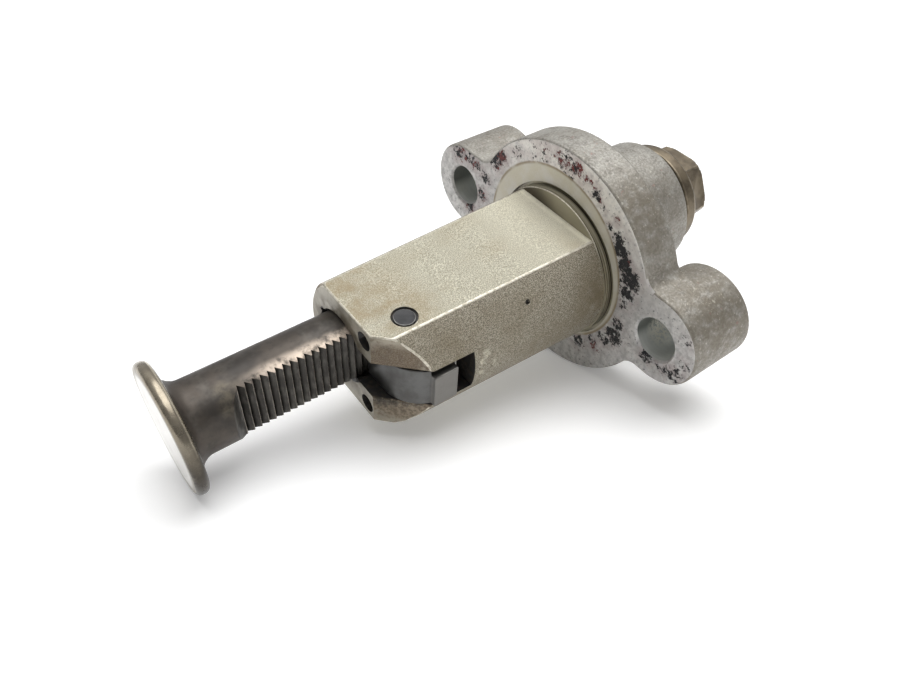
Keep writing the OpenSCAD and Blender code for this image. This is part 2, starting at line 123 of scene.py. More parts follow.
@dataclass(frozen=True)
class Spot:
    """A round patch where a stain or residue gathers; its core is the share at full strength."""

    centre: Point
    reach: float
    amount: float = 1.0
    core: float = 0.25


class Surface:
    """A material's node tree while it is put together."""

    def __init__(self, name: str) -> None:
        """Starts an empty tree with Object coordinates.

        Args:
            name: Name of the material.
        """
        self.material = bpy.data.materials.new(name)
        self.material.use_nodes = True
        self.tree = self.material.node_tree
        self.tree.nodes.clear()
        self.place = add(self.tree, "TexCoord", out="Object")
        self.axes = add(self.tree, "SeparateXYZ", {0: self.place}).node.outputs

    def cloud(self, size: float, low: float, high: float, detail: float = 3.0, shift: float = 0.0,
              stretch: Point = (1.0, 1.0, 1.0)) -> Socket:
        """Adds a noise mask.

        Args:
            size: Width of a patch in millimetres.
            low: Noise level that gives 0.
            high: Noise level that gives 1.
            detail: Number of finer layers.
            shift: Offset in millimetres that makes one mask differ from the next.
            stretch: Scale along each axis, below 1 where patches are drawn out.

        Returns:
            Mask from 0 to 1.
        """
        moved = add(self.tree, "Mapping", {"Vector": self.place, "Location": (shift * MM,) * 3,
                                           "Scale": stretch})
        noise = add(self.tree, "TexNoise", {"Vector": moved, "Scale": 1 / (size * MM), "Detail": detail,
                                            "Roughness": 0.6}, out="Fac")
        return add(self.tree, "MapRange", {"Value": noise, "From Min": low, "From Max": high}, **SOFT)

    def near(self, centre: Point, inner: float, outer: float, flat: Point = (1.0, 1.0, 1.0)) -> Socket:
        """Adds a mask that falls from 1 to 0 with the distance from a point.

        It rises instead if outer is smaller than inner.

        Args:
            centre: The point in millimetres.
            inner: Distance that gives 1.
            outer: Distance that gives 0.
            flat: Scale along each axis; 0 leaves the axis out, so that the point becomes a line.

        Returns:
            Mask from 0 to 1.
        """
        moved = add(self.tree, "Mapping", {"Vector": self.place, "Scale": tuple(f / MM for f in flat),
                                           "Location": tuple(-c * f for c, f in zip(centre, flat))})
        length = add(self.tree, "VectorMath", {0: moved}, out="Value", operation="LENGTH")
        return add(self.tree, "MapRange", {"Value": length, "From Min": outer, "From Max": inner}, **SOFT)

    def spots(self, patches: Iterable[Spot]) -> Socket:
        """Gathers round patches into one mask.

        Args:
            patches: The patches.

        Returns:
            The strongest patch at each place, fading to 0 at its reach.
        """
        mask: Socket | float = 0.0
        for patch in patches:
            far = add(self.tree, "VectorMath", {0: self.place, 1: Vector(patch.centre) * MM}, out="Value",
                      operation="DISTANCE")
            near = add(self.tree, "MapRange", {"Value": far, "From Min": patch.reach * MM,
                                               "From Max": patch.core * patch.reach * MM,
                                               "To Max": patch.amount})
            mask = add(self.tree, "Math", {0: mask, 1: near}, operation="MAXIMUM")
        return mask

    def lay(self, under: Socket | str, over: Socket | str, *masks: Socket | float) -> Socket:
        """Lays one colour over another where all the masks meet.

        Args:
            under: Hex colour or colour socket below.
            over: Hex colour or colour socket above.
            masks: Masks or plain shares that are multiplied.

        Returns:
            The mixed colour.
        """
        mask = masks[0]
        for other in masks[1:]:
            mask = add(self.tree, "Math", {0: mask, 1: other}, operation="MULTIPLY")
        return add(self.tree, "Mix", {0: mask, 6: under, 7: over}, out=2, data_type="RGBA")

    def relief(self, *layers: tuple[Socket, float]) -> Socket:
        """Raises the surface by masks, one upon the other.

        Args:
            layers: Mask and height in millimetres of each layer, the lowest first.

        Returns:
            The bumped normal.
        """
        below: dict[str | int, object] = {}
        for mask, height in layers:
            below = {"Normal": add(self.tree, "Bump", {"Height": mask, "Distance": height * MM, **below})}
        return below["Normal"]

    def close(self, **sockets: object) -> Material:
        """Ends the tree in one Principled shader.

        Args:
            sockets: Values or links of the shader, with underscores for the spaces in the sockets' names.

        Returns:
            The finished material.
        """
        shader = add(self.tree, "BsdfPrincipled", {k.replace("_", " "): v for k, v in sockets.items()})
        add(self.tree, "OutputMaterial", {"Surface": shader})
        return self.material


@dataclass(frozen=True)
class BlastedBarrel:
    """Die-cast aluminium, bead-blasted: a fine sandy grain in warm grey, browned by oil in places.

    The grain is drawn a little coarser than the real one, which is too fine to show in the picture. A heel
    span adds a painted highlight along the flat's rear border and painted light that grows towards that
    border.
    """

    name: str
    light: str
    dark: str
    oil: str
    oil_share: float
    stains: tuple[Spot, ...]
    scuffs: tuple[Spot, ...] = ()
    # Painted highlight at the flat's rear border and painted light towards it; the bright colour also serves
    # the scuffs.
    heel_highlight: Span | None = None
    painted_light_from: float = 16.0
    bright: str = "F0EBD6"
    grain: float = 0.13

    def build(self) -> Material:
        """Builds the material."""
        s = Surface(self.name)
        grain = s.cloud(self.grain, 0.4, 0.62, detail=2.0)
        colour = s.lay(self.dark, self.light, grain)
        drawn = s.cloud(6.0, 0.4, 0.72, shift=3, stretch=(0.6, 1.0, 1.0))
        colour = s.lay(colour, self.oil, drawn, self.oil_share)
        colour = s.lay(colour, self.oil, s.spots(self.stains), s.cloud(2.5, 0.25, 0.65, shift=17))
        # Painted highlight along the heel, then painted light that grows towards the flange end.
        if self.heel_highlight:
            heel_highlight = add(s.tree, "MapRange", {"Value": s.axes["X"], **ends(self.heel_highlight)}, **SOFT)
            colour = s.lay(colour, self.bright, heel_highlight, s.cloud(1.5, 0.2, 0.5, shift=29), 0.9)
            pale = ends((self.painted_light_from, self.heel_highlight[1]))
            rear = add(s.tree, "MapRange", {"Value": s.axes["X"], **pale}, **SOFT)
            colour = s.lay(colour, self.bright, rear, 0.4)
        if self.scuffs:
            scuffed = s.spots(self.scuffs)
            colour = s.lay(colour, self.bright, scuffed, s.cloud(1.1, 0.5, 0.66, detail=5.0, shift=33), 0.7)
        rough = add(s.tree, "MapRange", {"Value": grain, "To Min": 0.62, "To Max": 0.44})
        relief = s.relief((s.cloud(1.6, 0.3, 0.7, shift=2), 0.02), (grain, 0.03))
        return s.close(Base_Color=colour, Metallic=0.35, Roughness=rough, Normal=relief)


@dataclass(frozen=True)
class WornEdge:
    """Aluminium rubbed bright along an edge, broken where the blasted skin is still there."""

    bright: str = "D6D0C1"
    skin: str = "AFA896"
    patch: float = 0.5

    def build(self) -> Material:
        """Builds the material."""
        s = Surface("rubbed_aluminium_edge")
        skin = s.cloud(self.patch, 0.42, 0.66, detail=4.0)
        rough = add(s.tree, "MapRange", {"Value": skin, "To Min": 0.3, "To Max": 0.5})
        return s.close(Base_Color=s.lay(self.bright, self.skin, skin), Metallic=0.35, Roughness=rough)


@dataclass(frozen=True)
class StainedCut:
    """Sawn aluminium browned by baked oil: dull, dark brown-grey with lighter grains and rubbed borders."""

    brown: str = "6A5C4A"
    grey: str = "948775"
    dark: str = "4A4034"
    pale: str = "A99C88"
    border: str = "B4AC9B"
    oil: str = "2C2921"
    grain: float = 0.18
    under_z: Span = (-3.0, -3.5)
    border_z: Span = (6.2, 7.8)
    border_at: tuple[Spot, ...] = (Spot((30.6, 10.9, 4.0), 1.6, 0.9), Spot((35.5, 5.9, 6.6), 1.0, 0.8),
                                   Spot((35.3, 6.1, -6.5), 1.6, 0.8))
    oil_at: tuple[Spot, ...] = (Spot((35.0, 6.4, -3.4), 2.0), Spot((33.9, 7.5, -3.4), 1.6),
                                Spot((32.6, 8.8, -3.4), 1.2, 0.9), Spot((31.4, 10.0, -3.4), 1.0, 0.9))

    def build(self) -> Material:
        """Builds the material."""
        s = Surface("oil_stained_aluminium")
        grain = s.cloud(self.grain, 0.4, 0.68, detail=2.0)
        colour = s.lay(self.brown, self.grey, grain, 0.7)
        colour = s.lay(colour, self.dark, s.cloud(2.5, 0.4, 0.75, shift=4), 0.5)
        under = add(s.tree, "MapRange", {"Value": s.axes["Z"], **ends(self.under_z)})
        colour = s.lay(colour, self.pale, under, s.cloud(0.5, 0.35, 0.65, shift=24), 0.7)
        height = add(s.tree, "Math", {0: s.axes["Z"]}, operation="ABSOLUTE")
        border = add(s.tree, "MapRange", {"Value": height, **ends(self.border_z)}, **SOFT)
        colour = s.lay(colour, self.border, border, s.cloud(0.8, 0.2, 0.6, detail=4.0, shift=27), 0.85)
        rubbed, oily = s.spots(self.border_at), s.spots(self.oil_at)
        colour = s.lay(colour, self.border, rubbed, s.cloud(0.8, 0.3, 0.6, detail=4.0, shift=34), 0.8)
        colour = s.lay(colour, self.oil, oily, s.cloud(0.4, 0.3, 0.55, detail=4.0, shift=38), 0.9)
        return s.close(Base_Color=colour, Metallic=0.3, Roughness=0.55, Normal=s.relief((grain, 0.03)))


@dataclass(frozen=True)
class FacedFront:
    """Faced aluminium: grey-beige, smooth, with faint turning lines and oil crept from the bore."""

    grey: str = "B5B0A3"
    shade: str = "938C7D"
    oil: str = "5E5446"
    oil_r: Span = (5.2, 8.0)

    def build(self) -> Material:
        """Builds the material."""
        s = Surface("faced_aluminium")
        colour = s.lay(self.grey, self.shade, s.cloud(2.5, 0.35, 0.7))
        bore = s.near((0.0, PLUNGER_Y, 0.0), *self.oil_r, ACROSS)
        colour = s.lay(colour, self.oil, bore, s.cloud(2.0, 0.3, 0.6, shift=6))
        lines = s.cloud(0.5, 0.3, 0.7, detail=2.0, stretch=(1.0, 0.2, 1.0))
        return s.close(Base_Color=colour, Metallic=0.4, Roughness=0.45, Normal=s.relief((lines, 0.006)))


@dataclass(frozen=True)
class OilAndShade:
    """Aluminium under baked oil where no brush reaches, and painted shade in the bore, slot, small holes,
    pit and pin's recess: near black, with a dull brown shine.
    """

    black: str = "2B2A29"
    brown: str = "453B30"

    def build(self) -> Material:
        """Builds the material."""
        s = Surface("oil_and_shade_blackened_aluminium")
        crust = s.cloud(0.7, 0.45, 0.75, detail=4.0)
        return s.close(Base_Color=s.lay(self.black, self.brown, crust), Roughness=0.5,
                       Normal=s.relief((crust, 0.03)))


@dataclass(frozen=True)
class TurnedRegister:
    """Turned aluminium, oily: dark olive with fine bright and dark rings round the barrel."""

    olive: str = "8B8572"
    bright: str = "C2BDAA"
    dark: str = "453E33"

    def build(self) -> Material:
        """Builds the material."""
        s = Surface("oily_turned_aluminium")
        rings = s.cloud(0.7, 0.35, 0.65, detail=2.0, stretch=(2.0, 0.02, 0.02))
        colour = s.lay(self.olive, self.bright, rings, 0.6)
        grooves = s.cloud(0.55, 0.48, 0.6, detail=1.0, shift=8, stretch=(2.2, 0.02, 0.02))
        colour = s.lay(colour, self.dark, grooves)
        return s.close(Base_Color=colour, Metallic=0.6, Roughness=0.28)


@dataclass(frozen=True)
class GasketFace:
    """Milled aluminium under torn gasket: pale grey, black and rust-red flakes, a cream ring inside.

    The tables give y, z, reach and amount of the places where the residue gathers.
    """

    pale: str = "CDCBC8"
    grey: str = "A6A4A2"
    haze: str = "A08F8D"
    black: str = "1D1D1E"
    red: str = "6B3532"
    cream: str = "C3BDAA"
    tide: str = "84745A"
    scraped: str = "E6E2DA"
    scraped_z: Span = (3.0, 15.0)
    ring_centre: Point = (0.0, 0.05, 0.85)
    ring_r: float = 13.8
    ring_fade: Span = (0.25, 0.15)
    tide_w: Span = (0.4, 0.3)
    spread: float = 1.55
    tear: Span = (0.46, -0.4)
    tear_edge: Span = (0.47, 0.51)
    black_at: tuple[tuple[float, float, float, float], ...] = (
        (11.6, 11.2, 1.7, 0.9), (12.4, 9.6, 2, 1), (13.6, 7.7, 2.1, 1), (15, 6.2, 2.5, 1), (15, 3.8, 2, 1),
        (15.2, 1.9, 1.5, 0.85), (15, -2.4, 1.8, 0.9), (14.9, -4.9, 2.4, 1), (13.4, -6.6, 1.8, 0.9),
        (11.4, -8.7, 1.4, 0.85), (8.8, -10.9, 2.1, 0.9), (21, -3.9, 1.6, 0.9), (23.8, -3.7, 1.8, 0.75),
        (26, -3, 2.4, 0.85), (27, -0.3, 1.6, 0.75), (25.9, 3.7, 1.5, 0.7), (6.4, 14.8, 1.5, 0.85),
        (7.8, 13.7, 1.2, 0.75), (9.6, 11.9, 1.3, 0.8), (-23.6, 5.5, 2.2, 0.85), (-20.7, 6.1, 2, 0.85),
        (-18.2, 5.6, 1.7, 0.8), (-16.4, 4.6, 2, 0.82), (-16.9, 1, 2, 0.82), (-19.6, -3.1, 2, 0.85),
        (-14.6, 8.8, 2.2, 0.95), (-13.2, 10.2, 2, 0.85), (-9.8, 12.9, 2, 0.72), (-5, 14.6, 3.6, 0.7),
        (0.5, 16, 4, 0.74))
    red_at: tuple[tuple[float, float, float, float], ...] = (
        (-4.2, 16.3, 1.5, 0.75), (-1.6, 16.6, 1.6, 0.8), (0, 16.4, 1.6, 0.85), (2.1, 16.7, 1.7, 0.9),
        (4.3, 16.2, 1.3, 0.78), (5.5, 15.8, 1.2, 0.8), (-22.4, 5.6, 2.4, 0.85), (-18.8, 5.4, 1.8, 0.78),
        (-13.1, 10, 2.2, 0.92), (-13.7, 8, 1.5, 0.8), (-16.8, 0.6, 1.8, 0.78), (-19.6, -3, 1.9, 0.8),
        (10.5, 13.4, 0.9, 0.9), (14.1, 8.5, 0.9, 0.85), (19.5, 8.1, 1.2, 1), (12.1, -9.6, 1.7, 0.8),
        (7.2, 14.6, 1, 0.8))

    def build(self) -> Material:
        """Builds the material."""
        s = Surface("milled_aluminium_with_gasket_residue")
        black_area, red_area = (s.spots(Spot((0.0, y, z), self.spread * reach, amount)
                                        for y, z, reach, amount in places)
                                for places in (self.black_at, self.red_at))
        outside = s.near(self.ring_centre, self.ring_r + self.ring_fade[0], self.ring_r - self.ring_fade[1],
                         ACROSS)
        colour = s.lay(self.pale, self.grey, s.cloud(0.9, 0.38, 0.68, detail=4.0))
        colour = s.lay(colour, self.grey, s.cloud(4.0, 0.4, 0.7, shift=26), 0.6)
        above = add(s.tree, "MapRange", {"Value": s.axes["Z"], **ends(self.scraped_z)})
        colour = s.lay(colour, self.scraped, above, s.cloud(0.7, 0.2, 0.55, detail=5.0, shift=39), 0.85)
        colour = s.lay(colour, self.haze, red_area, s.cloud(1.4, 0.35, 0.65, shift=21), 0.75)
        colour = s.lay(colour, self.haze, black_area, s.cloud(1.4, 0.35, 0.65, shift=23), 0.7)
        specks = s.cloud(0.45, 0.61, 0.68, detail=3.0, shift=28)
        colour = s.lay(colour, self.black, specks, 0.6)
        red, black = self.flakes(s, red_area, 0.8, 31.0), self.flakes(s, black_area, 0.75, 11.0)
        colour = s.lay(colour, self.red, red)
        colour = s.lay(colour, self.black, black)
        cream = s.lay(self.cream, self.pale, s.cloud(3.0, 0.35, 0.75, shift=7), 0.6)
        colour = s.lay(cream, colour, outside)
        inner = s.near(self.ring_centre, self.ring_r, self.ring_r - self.tide_w[0], ACROSS)
        outer = s.near(self.ring_centre, self.ring_r, self.ring_r + self.tide_w[1], ACROSS)
        colour = s.lay(colour, self.tide, inner, outer, s.cloud(4.0, 0.25, 0.55, shift=13), 0.85)
        thick = add(s.tree, "Math", {0: red, 1: black}, operation="MAXIMUM")
        thick = add(s.tree, "Math", {0: thick, 1: outside}, operation="MULTIPLY")
        rough = add(s.tree, "MapRange", {"Value": thick, "To Min": 0.5, "To Max": 0.75})
        metal = add(s.tree, "MapRange", {"Value": thick, "To Min": 0.3, "To Max": 0.0})
        relief = s.relief((s.cloud(0.45, 0.3, 0.7, shift=1), 0.015), (thick, 0.05))
        return s.close(Base_Color=colour, Metallic=metal, Roughness=rough, Normal=relief)

    def flakes(self, s: Surface, area: Socket, size: float, shift: float) -> Socket:
        """Breaks a soft area into torn flakes.

        Args:
            s: Surface under construction.
            area: Where the residue gathers, from 0 to 1.
            size: Width of a flake in millimetres.
            shift: Offset of the tearing pattern.

        Returns:
            Mask with hard, torn borders.
        """
        moved = add(s.tree, "Mapping", {"Vector": s.place, "Location": (shift * MM,) * 3})
        noise = add(s.tree, "TexNoise", {"Vector": moved, "Scale": 1 / (size * MM), "Detail": 6.0,
                                         "Roughness": 0.75}, out="Fac")
        level = add(s.tree, "Math", {0: area, 1: self.tear[0], 2: self.tear[1]}, operation="MULTIPLY_ADD")
        torn = add(s.tree, "Math", {0: noise, 1: level}, operation="ADD")
        return add(s.tree, "MapRange", {"Value": torn, "From Min": self.tear_edge[0],
                                        "From Max": self.tear_edge[1]})


@dataclass(frozen=True)
class CastSkin:
    """As-cast aluminium: cool grey, softly mottled, with painted glints and a few rust-brown specks."""

    grey: str = "9B9891"
    light: str = "B7B4AC"
    dark: str = "7D7972"
    grime: str = "746C5E"
    rust: str = "93685F"
    glint: str = "E9E5D6"
    grime_at: tuple[Spot, ...] = (Spot((-6.0, 23.5, 2.0), 16.0, 1.0), Spot((-16.0, 7.0, 6.0), 10.0, 0.6),
                                  Spot((-3.0, 12.0, 15.0), 9.0, 0.95), Spot((-7.0, -22.0, 5.0), 10.0, 0.5))

    def build(self) -> Material:
        """Builds the material."""
        s = Surface("as_cast_aluminium")
        fine = s.cloud(0.35, 0.36, 0.66, detail=2.0)
        colour = s.lay(self.dark, self.grey, s.cloud(1.8, 0.3, 0.62, detail=4.0, shift=5))
        colour = s.lay(colour, self.light, fine, 0.55)
        colour = s.lay(colour, self.grime, s.cloud(5.0, 0.5, 0.75, shift=12), 0.4)
        colour = s.lay(colour, self.grime, s.spots(self.grime_at), s.cloud(1.2, 0.2, 0.6, shift=41), 0.9)
        colour = s.lay(colour, self.rust, s.cloud(0.9, 0.66, 0.74, shift=19), 0.5)
        # Painted glints: small bright flecks for the sparkle of the cast skin.
        colour = s.lay(colour, self.glint, s.cloud(0.45, 0.6, 0.74, detail=2.0, shift=37), 0.3)
        rough = add(s.tree, "MapRange", {"Value": fine, "To Min": 0.55, "To Max": 0.4})
        relief = s.relief((s.cloud(5.0, 0.3, 0.7, shift=8), 0.06), (fine, 0.02))
        return s.close(Base_Color=colour, Metallic=0.4, Roughness=rough, Normal=relief)


@dataclass(frozen=True)
class DrilledHole:
    """Drilled aluminium: smooth, cool grey-green, with painted shade on the upper wall, a painted glint and
    faint rings left by the drill.
    """

    grey: str = "DEE0DB"
    dark: str = "C8CAC5"
    # A painted glint in the near lug's hole, and painted shade, in the oily colour, on the upper wall.
    hole_glint: str = "FFFCEE"
    hole_glint_at: Spot = Spot((-4.4, 19.2, -2.45), 2.8)
    oily: str = "7F827E"
    shade_z: Span = (-2.4, -0.7)

    def build(self) -> Material:
        """Builds the material."""
        s = Surface("drilled_aluminium")
        rings = s.cloud(1.5, 0.3, 0.7, stretch=(4.0, 0.4, 0.4))
        colour = s.lay(self.grey, self.dark, rings, 0.35)
        # Painted shade on the upper wall of the hole.
        upper = add(s.tree, "MapRange", {"Value": s.axes["Z"], **ends(self.shade_z)}, **SOFT)
        colour = s.lay(colour, self.oily, upper)
        # Painted glint.
        colour = s.lay(colour, self.hole_glint, s.spots((self.hole_glint_at,)), s.cloud(0.4, 0.35, 0.55, shift=6))
        return s.close(Base_Color=colour, Metallic=0.3, Roughness=0.42, Normal=s.relief((rings, 0.008)))


@dataclass(frozen=True)
class RodSteel:
    """Hardened steel, ground and browned by oil: dark, glossy, rubbed pale along the rack's upper edge."""

    brown: str = "504942"
    dark: str = "383430"
    grey: str = "635F59"
    rubbed: str = "D9C9B8"
    dust: str = "857C6A"
    rub_line: Point = (0.0, 0.9, 4.3)
    rub_reach: Span = (0.3, 2.0)
    rub_x: Span = (52.5, 44.0)
    dust_at: tuple[Spot, ...] = (Spot((52.7, 0.2, 4.6), 1.6), Spot((52.6, 1.1, 4.1), 1.6),
                                 Spot((53.0, 2.1, 3.2), 1.5, 0.8), Spot((51.4, 0.2, 4.6), 1.5, 0.4))

    def build(self) -> Material:
        """Builds the material."""
        s = Surface("browned_hardened_steel")
        colour = s.lay(self.brown, self.dark, s.cloud(6.0, 0.38, 0.68, detail=4.0))
        colour = s.lay(colour, self.grey, s.cloud(3.0, 0.5, 0.75, shift=14), 0.5)
        colour = s.lay(colour, self.dark, s.cloud(0.9, 0.48, 0.72, detail=5.0, shift=25), 0.5)
        dusty = s.spots(self.dust_at)
        colour = s.lay(colour, self.dust, dusty, s.cloud(0.8, 0.25, 0.7, detail=4.0, shift=36), 0.42)
        ahead = add(s.tree, "MapRange", {"Value": s.axes["X"], **ends(self.rub_x)}, **SOFT)
        along = s.near(self.rub_line, *self.rub_reach, ACROSS)
        colour = s.lay(colour, self.rubbed, along, ahead, s.cloud(1.3, 0.3, 0.6, detail=5.0, shift=22))
        lines = s.cloud(0.5, 0.3, 0.7, detail=2.0, stretch=(3.0, 0.15, 0.15))
        rough = add(s.tree, "MapRange", {"Value": s.cloud(2.0, 0.3, 0.7, shift=2), "To Min": 0.4,
                                         "To Max": 0.52})
        return s.close(Base_Color=colour, Metallic=0.5, Roughness=rough, Normal=s.relief((lines, 0.004)))


@dataclass(frozen=True)
class PolishedFoot:
    """Steel polished by use: nickel-grey and warm where oil has tinted it, with painted shade on the rim's
    rear and lower part and a painted highlight line along its rear border.
    """

    bright: str = "A39A89"
    warm: str = "857C6D"
    dark: str = "2F2B26"
    line: str = "DDD3BE"
    # Painted shade, in the dark colour, on the rim's rear and lower part, and a painted highlight line, in
    # the line colour, along the rear border.
    shaded_back_x: Span = (59.2, 58.0)
    shade_centre: Point = (59.2, 5.0, -5.6)
    shade_reach: Span = (6.0, 15.0)
    highlight_x: float = 58.6
    highlight_half: float = 0.2
    highlight_reach: Span = (13.0, 8.0)

    def build(self) -> Material:
        """Builds the material."""
        s = Surface("polished_steel")
        colour = s.lay(self.bright, self.warm, s.cloud(3.5, 0.35, 0.7))
        # Painted shade towards the rim's rear and on its lower part.
        back = add(s.tree, "MapRange", {"Value": s.axes["X"], **ends(self.shaded_back_x)}, **SOFT)
        colour = s.lay(colour, self.dark, back, 0.7)
        low = s.near(self.shade_centre, *self.shade_reach)
        colour = s.lay(colour, self.dark, low, s.cloud(2.0, 0.1, 0.5, shift=15), 0.9)
        # Painted highlight line along the rim's rear border, on its upper part only.
        before, behind = (add(s.tree, "MapRange", {"Value": s.axes["X"], **ends((end, self.highlight_x))}, **SOFT)
                          for end in (self.highlight_x + self.highlight_half, self.highlight_x - self.highlight_half))
        upper = s.near(self.shade_centre, *self.highlight_reach)
        colour = s.lay(colour, self.line, before, behind, upper, 0.8)
        rough = add(s.tree, "MapRange", {"Value": s.cloud(1.5, 0.3, 0.7, shift=5), "To Min": 0.22,
                                         "To Max": 0.3})
        return s.close(Base_Color=colour, Metallic=0.8, Roughness=rough)


@dataclass(frozen=True)
class FootFace:
    """Steel face worn bright by the guide: a pale mirror blurred by fine scratches, with painted shade in a
    ring at its rim.
    """

    pale: str = "E4E2DE"
    grey: str = "BFBCB6"
    # The rim colour is painted shade for the rounded edge.
    rim: str = "8E8679"
    rim_r: Span = (6.9, 7.9)

    def build(self) -> Material:
        """Builds the material."""
        s = Surface("worn_steel_face")
        scratch = s.cloud(0.6, 0.6, 0.7, detail=2.0, stretch=(1.0, 0.12, 2.0))
        colour = s.lay(self.pale, self.grey, s.cloud(2.6, 0.5, 0.8), 0.6)
        colour = s.lay(colour, self.grey, scratch, 0.5)
        # Painted shade in a ring round the face's border.
        colour = s.lay(self.rim, colour, s.near((0.0, PLUNGER_Y, 0.0), *self.rim_r, ACROSS))
        return s.close(Base_Color=colour, Metallic=0.75, Roughness=0.3, Normal=s.relief((scratch, 0.006)))


@dataclass(frozen=True)
class RackSteel:
    """Milled steel under old oil: near black in the grooves, with a dull grey sheen on the tooth flanks."""

    dark: str = "3D3A36"
    grey: str = "5C5954"
    black: str = "1E1C1A"
    groove_y: Span = (0.75, 0.4)

    def build(self) -> Material:
        """Builds the material."""
        s = Surface("oily_milled_steel")
        colour = s.lay(self.dark, self.grey, s.cloud(1.0, 0.4, 0.7, detail=4.0, stretch=(1.0, 1.0, 0.5)))
        low = add(s.tree, "MapRange", {"Value": s.axes["Y"], **ends(self.groove_y)}, **SOFT)
        colour = s.lay(colour, self.black, low, 0.85)
        return s.close(Base_Color=colour, Metallic=0.7, Roughness=0.4)


@dataclass(frozen=True)
class PawlSteel:
    """Ground steel: dark on the curved face, with painted light on the tail block, softly glossy."""

    dark: str = "676766"
    patch: str = "585755"
    # The tail colour is painted light on the tail block's faces.
    tail: str = "7F7C77"
    tail_x: float = 30.0

    def build(self) -> Material:
        """Builds the material."""
        s = Surface("satin_ground_steel")
        colour = s.lay(self.dark, self.patch, s.cloud(2.5, 0.35, 0.7, detail=4.0))
        # Painted light on the tail block, behind tail_x.
        block = ends((self.tail_x + CLOSE, self.tail_x - CLOSE))
        tail = add(s.tree, "MapRange", {"Value": s.axes["X"], **block})
        colour = s.lay(colour, self.tail, tail, 0.65)
        lines = s.cloud(0.35, 0.3, 0.7, detail=2.0, stretch=(0.2, 0.2, 2.0))
        return s.close(Base_Color=colour, Metallic=0.8, Roughness=0.32, Normal=s.relief((lines, 0.003)))


@dataclass(frozen=True)
class SatinSteel:
    """Drawn, plated or blackened steel: two close shades, a soft gloss and fine lengthwise lines."""

    name: str
    main: str
    other: str
    roughness: float = 0.34
    patch: float = 2.5

    def build(self) -> Material:
        """Builds the material."""
        s = Surface(self.name)
        colour = s.lay(self.main, self.other, s.cloud(self.patch, 0.35, 0.7, detail=4.0))
        lines = s.cloud(0.35, 0.3, 0.7, detail=2.0, stretch=(0.2, 0.2, 2.0))
        return s.close(Base_Color=colour, Metallic=0.8, Roughness=self.roughness,
                       Normal=s.relief((lines, 0.003)))


class Zone(IntEnum):
    """Surfaces of the housing, in the order of its material slots."""

    CAST = 0
    GASKET = 1
    BARREL = 2
    CUT = 3
    DRILLED = 4
    EDGE = 5
    FRONT = 6
    # Near black: baked oil and painted shade in the bore, slot, small holes, pit and the pin's recess.
    SOOT_AND_SHADE = 7
    TURNED = 8
    ROUND = 9


class RodZone(IntEnum):
    """Surfaces of the plunger, in the order of its material slots."""

    ROD = 0
    FOOT = 1
    FACE = 2
    RACK = 3
    CREST = 4


def merged_copy(node: str) -> bmesh.types.BMesh:
    """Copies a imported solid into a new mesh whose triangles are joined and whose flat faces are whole.

    Args:
        node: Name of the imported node.

    Returns:
        The new mesh.
    """
    bm = bmesh.new()
    bm.from_mesh(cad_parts[node].data)
    bmesh.ops.remove_doubles(bm, verts=bm.verts, dist=0.002 * MM)
    bmesh.ops.dissolve_limit(bm, angle_limit=math.radians(0.4), use_dissolve_boundaries=False,
                             verts=bm.verts, edges=bm.edges, delimit={"NORMAL"})
    bm.normal_update()
    return bm


def round_edges(bm: bmesh.types.BMesh, width: float, wanted: Callable[[Edge], bool],
                least: float = 35.0, segments: int = 2) -> list[Face]:
    """Rounds the outer edges that a test picks.

    Args:
        bm: Mesh to work on.
        width: Width of the rounding in millimetres.
        wanted: Test that an edge has to pass.
        least: Smallest angle between the two faces, in degrees.
        segments: Steps across the rounding.

    Returns:
        The new faces.
    """
    edges = [e for e in bm.edges if len(e.link_faces) == 2 and e.is_convex
             and e.calc_face_angle(0.0) > math.radians(least) and wanted(e)]
    made = bmesh.ops.bevel(bm, geom=edges, offset=width * MM, offset_type="OFFSET", segments=segments,
                           profile=0.5, affect="EDGES", clamp_overlap=False, material=-1)
    bm.normal_update()
    return list(made["faces"])


def middle(element: Edge | Face) -> Vector:
    """Gives the middle of an edge or face in millimetres."""
    if isinstance(element, Face):
        return element.calc_center_median() / MM
    return (element.verts[0].co + element.verts[1].co) / (2 * MM)


def make_piece(bm: bmesh.types.BMesh, name: str, materials: Sequence[Material], body: str,
               node: str, crease: float = 34.0) -> bpy.types.Object:
    """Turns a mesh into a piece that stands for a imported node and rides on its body.

    Args:
        bm: Mesh in the part's frame; it is freed.
        name: Name of the piece.
        materials: Materials in slot order.
        body: Body that carries the piece.
        node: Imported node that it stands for.
        crease: Angle in degrees past which an edge stays sharp.

    Returns:
        The piece.
    """
    mesh = bpy.data.meshes.new(name)
    for face in bm.faces:
        face.smooth = True
    bm.to_mesh(mesh)
    bm.free()
    mesh.set_sharp_from_angle(angle=math.radians(crease))
    for material in materials:
        mesh.materials.append(material)
    piece = bpy.data.objects.new(name, mesh)
    bpy.context.scene.collection.objects.link(piece)
    weighted = piece.modifiers.new("even_shading", "WEIGHTED_NORMAL")
    weighted.keep_sharp = True
    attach(piece, body)
    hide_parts(node)
    LOG.info("%s: %d faces", name, len(mesh.polygons))
    return piece


